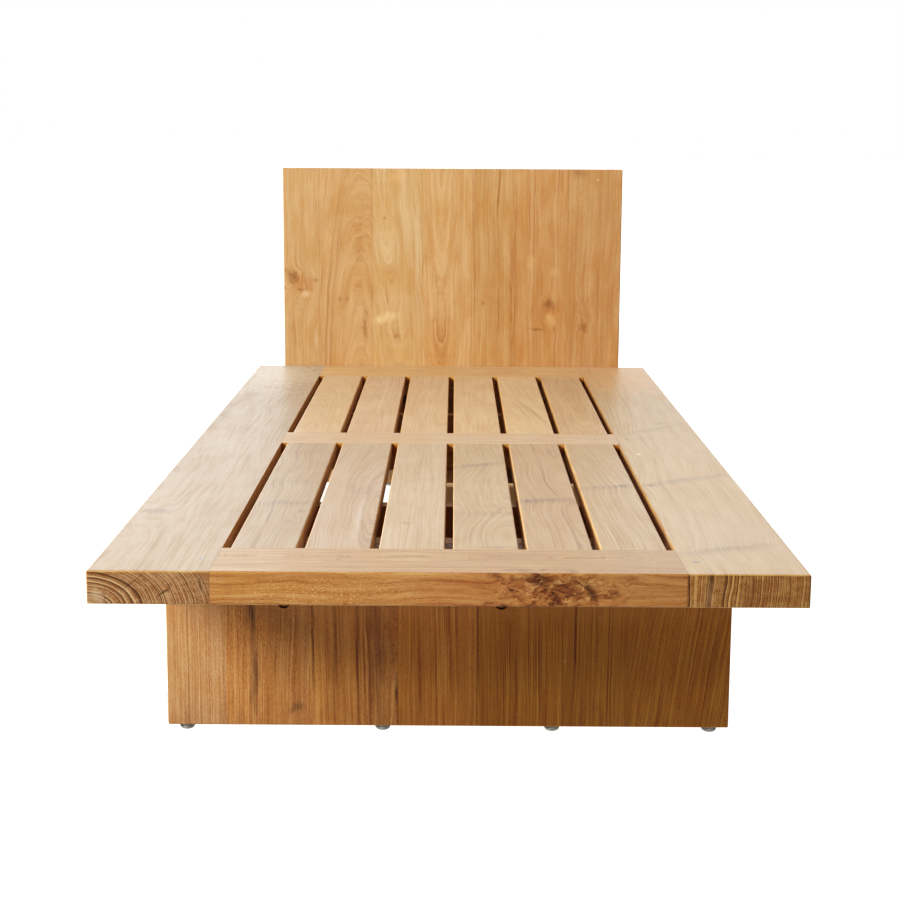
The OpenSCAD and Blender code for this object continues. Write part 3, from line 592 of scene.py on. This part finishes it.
# The slats, from the left. A heart given from the deck's top comes out there, that far along the slat.
FRONT_SLATS = (
    dict(
        heart=(-340, 300), tone="#bbb9ad", sway=14,
        crossings=[
            ((-270, -168), 0, 60, 5, 40, 0.1), ((-270, -440), 0, 60, 5, 30, 0.1),
            ((-270, -594), 0.02, 60, 6, 30, 0.32),
        ],
        knots=[((-236, -655), (22, 70), 10)],
        marks=[((-236, -650), (10, 20), 10, "#5c3420", 0.5), ((-252, -722), (14, 24), 0, "#5e4030", 0.35)],
    ),
    dict(
        heart=(-120, DECK_TOP + 0.1 * 620), lean=(0.0, 0.1), tone="#cbcccf", sway=18,
        marks=[((-150, -500), (36, 80), 20, "#5c4a3c", 0.18), ((-142, -660), (8, 230), 0, "#f2e8dc", 0.24)],
    ),
    dict(
        heart=(-150, 296), lean=(0.01, 0.0), tone="#d4d7d5", rings=0.3, sway=8,
        marks=[
            ((-86, -209), (6, 14), 0, "#7a4620", 0.5), ((-60, -350), (6, 12), 0, "#7e4a1e", 0.45),
            ((-60, -493), (6, 12), 0, "#7e4a1e", 0.45), ((-68, -730), (12, 12), 0, "#7a4a24", 0.45),
        ],
    ),
    dict(
        heart=(120, 296), lean=(0.04, 0.03), tone="#cdccbe", sway=16, rings=0.6,
        crossings=[((55, -280), 0.42, 60, 16, 60, 0.48), ((55, -660), 0.05, 60, 14, 60, 0.2)],
        knots=[((82, -632), (16, 44), 8)],
        marks=[
            ((82, -632), (6, 14), 0, "#5c3018", 0.55), ((30, -515), (5, 40), 8, "#8a5220", 0.4),
            ((70, -876), (34, 14), 0, "#4c3c3a", 0.35),
        ],
    ),
    dict(
        heart=(190, 330), lean=(-0.03, 0.05), tone="#cbc3b0", sway=16, rings=0.6,
        crossings=[((160, -568), 0.12, 60, 14, 60, 0.5)],
        marks=[((131, -572), (13, 18), 0, "#40323e", 0.5), ((191, -150), (12, 50), 0, "#6a4026", 0.3)],
    ),
    dict(
        heart=(330, 292), lean=(-0.05, 0.02), tone="#cecbb8", sway=14, rings=0.5,
        crossings=[((270, -462), 0.2, 60, 14, 60, 0.38)],
        marks=[((295, -453), (11, 16), 0, "#2e2e38", 0.6), ((240, -300), (20, 160), 12, "#86571f", 0.2)],
    ),
)
REAR_SLATS = (
    dict(heart=(-290, DECK_TOP + 0.07 * 60), lean=(0.0, -0.07), tone="#e5e0cc", rings=0.5),
    dict(heart=(-190, 280), tone="#e4dfd8", rings=0.35),
    dict(heart=(-20, 290), tone="#e9e2d6", rings=0.4, lean=(0.02, 0.0)),
    dict(heart=(90, 284), tone="#eee9da", rings=0.35),
    dict(
        heart=(140, 300), tone="#f3f1e1", lean=(-0.1, 0.0),
        marks=[((170, 330), (9, 240), 10, "#8a4a14", 0.5)],
    ),
    dict(heart=(280, DECK_TOP + 0.06 * 500), lean=(0.0, -0.06), tone="#e2d9c2", rings=0.55),
)
EVERY_SLAT = dict(ring=3.6, edge=EDGE, rings=0.6, streaks=0.4, pores=0.4, run=300, wobble=1.6)
for bay, later, slats in (("front", 0, FRONT_SLATS), ("rear", 30, REAR_SLATS)):
    for i, own in enumerate(slats):
        values = {**EVERY_SLAT, "seed": 20.0 + 3.7 * i + later, **own}
        dress(teak(f"teak_slat_{bay}_{i + 1}", "Y", **values), f"slat_{bay}_{i + 1}")

# Each stave: its left edge, its heart's place across and behind the face, the heart's lean as it rises across
# and behind, and its tone
HEADBOARD_STAVES = (
    (-435, -560, 60, 0.0, 0.0, "#f0ede8"),
    (-343, -236, 0, 0.0, 0.11, "#f1ece6"),
    (-207, -114, 66, -0.083, -0.08, "#f8faf8"),
    (-77, -30, 53, 0.0, -0.04, "#f8f4ee"),
    (51, 300, 30, 0.0, 0.0, "#efe8db"),
    (163, 20, 60, 0.0, 0.02, "#f1e6d9"),
    (297, 500, 50, 0.02, 0.0, "#efe6dc"),
    (435,),
)
dress(teak(
    "teak_headboard", "Z", (0, HEADBOARD_FRONT), surface=HEADBOARD_FRONT, ring=8.0, sway=12, run=260,
    wobble=3.4, seed=2.0, rings=0.36, streaks=0.5, pores=0.35, staves=HEADBOARD_STAVES,
    knots=[
        ((-395, 533), (50, 70), -22), ((-240, 700), (30, 60), 5), ((345, 450), (40, 60), 12),
        ((254, 470), (40, 60), 14),
    ],
    marks=[
        ((-388, 532), (54, 44), -30, "#b0743c", 0.45), ((-412, 556), (24, 30), 24, "#6a381a", 0.55),
        ((-352, 545), (14, 9), 0, "#6e3c1c", 0.45), ((-378, 508), (20, 13), 20, "#e8c8a0", 0.65),
        ((-392, 520), (10, 6), 0, "#5a2e14", 0.5), ((-352, 392), (7, 46), 0, "#e0bfa4", 0.5),
        ((-291, 495), (5, 12), 0, "#5e3c24", 0.5), ((-271, 497), (4, 9), 0, "#5e3c24", 0.45),
        ((-225, 425), (11, 66), 0, "#8a5424", 0.45), ((-240, 640), (18, 80), 0, "#a86c34", 0.3),
        ((-174, 448), (46, 19), 16, "#eccf9f", 0.85), ((-168, 505), (3, 56), 4, "#a05c24", 0.5),
        ((-175, 705), (5, 7), 0, "#5e3c24", 0.5), ((-140, 812), (42, 18), 12, "#e0b884", 0.5),
        ((-90, 640), (10, 190), 0, "#e4cdb0", 0.4), ((156, 577), (12, 290), 0, "#a8642a", 0.4),
        ((81, 487), (7, 9), 0, "#b05a20", 0.5), ((203, 595), (16, 30), 0, "#e6c08c", 0.4),
        ((266, 570), (22, 20), 0, "#e6c08c", 0.35), ((248, 460), (56, 66), 0, "#b8763a", 0.4),
        ((254, 488), (25, 20), -12, "#6a3c1c", 0.55), ((256, 446), (24, 26), 0, "#e8c290", 0.65),
        ((222, 419), (30, 6), -3, "#80502a", 0.45), ((343, 426), (9, 22), 0, "#6a3a16", 0.5),
        ((372, 806), (5, 4), 0, "#f0dcc0", 0.7), ((322, 822), (30, 20), 0, "#8a5426", 0.4),
    ],
), "headboard")
LEG_STAVES = (
    (-435, -560, 60, 0.0, 0.0, "#e8dccd"),
    (-345, -440, 50, 0.02, 0.0, "#e8d2ae"),
    (-215, -60, 70, -0.02, 0.0, "#f2d8a8"),
    (-78.5, 250, 80, 0.0, 0.0, "#efcf8a"),
    (44, 260, 60, 0.01, 0.0, "#debf69"),
    (175.5, 60, 60, 0.0, 0.0, "#d8ba64"),
    (277, 520, 50, 0.15, 0.0, "#daba63"),
    (435,),
)
dress(teak(
    "teak_leg_panel", "Z", (0, LEG_FRONT), surface=LEG_FRONT, ring=5.0, sway=7, run=300, wobble=1.6, seed=4.0,
    rings=0.75, streaks=1.05, pores=1.0, fine=0.7, staves=LEG_STAVES, flecks=((-300, 150), (240, 240), 0.4),
    marks=[
        # The first two marks run across the whole panel: the pale band high up is painted light, lifting the
        # shade under the deck, and the dark band along the foot is painted shade
        ((0, 200), (900, 36), 0, "#e8b884", 0.17), ((0, 8), (900, 66), 0, "#6a4024", 0.27),
        ((-305, 210), (10, 110), 3, "#46230f", 0.75), ((-300, 80), (11, 95), -3, "#4a2814", 0.65),
        ((-262, 150), (26, 170), 0, "#7c5628", 0.2), ((-209, 150), (4, 200), 0, "#4c2c14", 0.5),
        ((-175, 150), (11, 200), 0, "#6c4420", 0.25), ((-140, 150), (4, 200), 0, "#4c2c14", 0.4),
        ((-108, 140), (30, 240), 0, "#6c4234", 0.36), ((-80, 66), (4, 34), 0, "#2e1408", 0.9),
        ((-84, 88), (7, 12), 0, "#c08a60", 0.5), ((-235, 38), (22, 12), 30, "#4e3018", 0.45),
        ((45, 150), (3, 200), 0, "#4c2c12", 0.5), ((180, 117), (3, 5), 0, "#d8b890", 0.6),
    ],
), "leg_panel")
# The cross members' tops keep a plain white tone while their sides are toned darker: the lighter tops are
# painted light, where light falls through the gaps between the slats
dress(teak(
    "teak_cross_members", "X", (-720, 180), seed=31.0, edge="#e8d6b6",
), "leg_rail", "head_rail", "front_batten", "rear_batten")
dress(teak(
    "teak_bearers", "Y", (400, 200), seed=33.0, tone="#e8d6b6",
), "bearer_left", "bearer_right", "bearer_dowels")


# Sizes in mm of the marks and rubbed patches on metal, and of the grain and clouds in nylon
MARK_SIZE, RUB_SIZE, GRAIN_SIZE, HAZE_SIZE = 1, 9, 0.6, 8


def tumbled_metal(name, colour, worn, rough):
    """Turned and tumbled metal: satin, with fine marks in all directions, and rubbed brighter in patches. The
    real marks are under 0.1 mm and are drawn about 1 mm long, so that they show."""
    material, tree = new_material(name)
    spot = node(tree, "TexCoord", out="Object")
    spot = node(tree, "VectorMath", {0: spot, "Scale": 1 / MM}, operation="SCALE")
    fine = node(tree, "TexNoise", {"Vector": spot, "Scale": 1 / MARK_SIZE, "Detail": 4.0, "Roughness": 0.65})
    broad = node(tree, "TexNoise", {"Vector": spot, "Scale": 1 / RUB_SIZE, "Detail": 2.0})
    rubbed = node(tree, "MapRange", {0: broad, 1: 0.45, 2: 0.7, 3: 0.0, 4: 0.45}, **SMOOTH)
    tint = node(tree, "Mix", {0: rubbed, FIRST: linear(colour), SECOND: linear(worn)}, **OF_COLOURS)
    node(tree, "OutputMaterial", {"Surface": node(tree, "BsdfPrincipled", {
        "Base Color": tint,
        "Metallic": 1.0,
        "Roughness": node(tree, "MapRange", {0: fine, 1: 0.3, 2: 0.7, 3: rough - 0.08, 4: rough + 0.1}),
        "Normal": node(tree, "Bump", {"Height": fine, "Strength": 0.2, "Distance": 0.05 * MM}),
    })})
    return material


def moulded_nylon():
    """Light grey injection-moulded nylon: slightly translucent, with a fine spark-eroded grain."""
    material, tree = new_material("moulded_grey_nylon")
    spot = node(tree, "TexCoord", out="Object")
    spot = node(tree, "VectorMath", {0: spot, "Scale": 1 / MM}, operation="SCALE")
    grain = node(tree, "TexNoise", {"Vector": spot, "Scale": 1 / GRAIN_SIZE, "Detail": 3.0})
    haze = node(tree, "TexNoise", {"Vector": spot, "Scale": 1 / HAZE_SIZE, "Detail": 2.0})
    haze = node(tree, "MapRange", {0: haze, 1: 0.35, 2: 0.65})
    tint = node(tree, "Mix", {0: haze, FIRST: linear("#b7b6af"), SECOND: linear("#a6a49c")}, **OF_COLOURS)
    node(tree, "OutputMaterial", {"Surface": node(tree, "BsdfPrincipled", {
        "Base Color": tint,
        "Roughness": node(tree, "MapRange", {0: grain, 1: 0.35, 2: 0.65, 3: 0.42, 4: 0.6}),
        "Normal": node(tree, "Bump", {"Height": grain, "Strength": 0.25, "Distance": 0.1 * MM}),
        "IOR": 1.53,
        "Subsurface Weight": 0.15,
        "Subsurface Radius": (2 * MM, 2 * MM, 1.8 * MM),
        "Subsurface Scale": 1.0,
    })})
    return material


# The pins' ends are sanded flush with the deck, where the weather dulls them. The bolts have plated heads.
GLIDES = [(end, i) for end in ("front", "rear") for i in range(1, 5)]
steel = tumbled_metal("stainless_steel", "#bab8b4", "#d2d1ce", 0.34)
dull_steel = tumbled_metal("weathered_stainless_steel", "#a09b92", "#aeaaa2", 0.44)
bronze = tumbled_metal("bronze_plated_steel", "#8f7148", "#b39262", 0.36)
nylon = moulded_nylon()
dress(dull_steel, "tenon_pins")
dress(steel, "slat_screws", "frame_screws", "barrel_nuts", "front_inserts", "rear_inserts")
dress(steel, *[f"{end}_stem_{i}" for end, i in GLIDES])
dress(bronze, "leg_bolts", "leg_nuts", "headboard_bolts", "headboard_nuts", "rear_rail_bolts")
dress(nylon, *[f"{end}_glide_{i}" for end, i in GLIDES])

# A glide's foot: its rounded lower edge, its softened edges, the ring and hollow underneath, and its groove
FOOT_ROUND, FOOT_EDGE = 5.5 * MM, 0.25 * MM
RING_WIDTH, HOLLOW_SLOPE, HOLLOW_DEPTH = 1.6 * MM, 0.4 * MM, 0.5 * MM
GROOVE_MARGIN, GROOVE_DEPTH = 1.1 * MM, 0.45 * MM


def pick(mesh, kind, wanted):
    """Selects the faces or the edges that the test accepts, in edit mode."""
    bpy.ops.mesh.select_mode(type=kind)
    bpy.ops.mesh.select_all(action="DESELECT")
    for part in {"FACE": mesh.faces, "EDGE": mesh.edges}[kind]:
        part.select = wanted(part)
    mesh.select_flush_mode()


def levelling_glide():
    """The nylon foot of a glide: rounded below, with a hollow underneath and a groove round its side."""
    low, high = [Vector(corner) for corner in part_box("front_glide_1")]
    wide, tall = high.x - low.x, high.z - low.z
    bpy.ops.object.select_all(action="DESELECT")
    bpy.ops.mesh.primitive_cylinder_add(vertices=64, radius=wide / 2, depth=tall, location=(0, 0, tall / 2))
    glide = bpy.context.object
    glide.name = "glide_foot"
    bpy.ops.object.transform_apply(location=True, rotation=False, scale=False)
    bpy.ops.object.mode_set(mode="EDIT")
    mesh = bmesh.from_edit_mesh(glide.data)
    pick(mesh, "EDGE", lambda edge: all(v.co.z < 0.01 * tall for v in edge.verts))
    bpy.ops.mesh.bevel(offset=FOOT_ROUND, segments=10, profile=0.5)
    mesh = bmesh.from_edit_mesh(glide.data)
    pick(mesh, "FACE", lambda face: face.normal.z < 0 and len(face.verts) > 8)
    bpy.ops.mesh.inset(thickness=RING_WIDTH, depth=0)
    bpy.ops.mesh.inset(thickness=HOLLOW_SLOPE, depth=-HOLLOW_DEPTH)
    mesh = bmesh.from_edit_mesh(glide.data)
    pick(mesh, "FACE", lambda face: abs(face.normal.z) < 0.05 and face.calc_center_median().z > 0.6 * tall)
    bpy.ops.mesh.inset(thickness=GROOVE_MARGIN, depth=0, use_individual=False)
    bpy.ops.mesh.extrude_region_shrink_fatten(TRANSFORM_OT_shrink_fatten={"value": -GROOVE_DEPTH})
    bpy.ops.object.mode_set(mode="OBJECT")
    edges = glide.modifiers.new("softened_edges", "BEVEL")
    edges.width = FOOT_EDGE
    edges.segments = 2
    edges.limit_method = "ANGLE"
    edges.angle_limit = math.radians(40)
    bpy.ops.object.modifier_apply(modifier=edges.name)
    bpy.ops.object.shade_smooth_by_angle(angle=math.radians(35))
    glide.data.materials.append(nylon)
    return glide


foot = levelling_glide()
for end, i in GLIDES:
    own = bpy.data.objects.new(f"{end}_glide_foot_{i}", foot.data.copy())
    scene.collection.objects.link(own)
    low, high = [Vector(corner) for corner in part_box(f"{end}_glide_{i}")]
    own.data.transform(Matrix.Translation(((low.x + high.x) / 2, (low.y + high.y) / 2, low.z)))
    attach(own, f"{end}_leveller_{i}")
    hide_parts(f"{end}_glide_{i}")
bpy.data.objects.remove(foot)
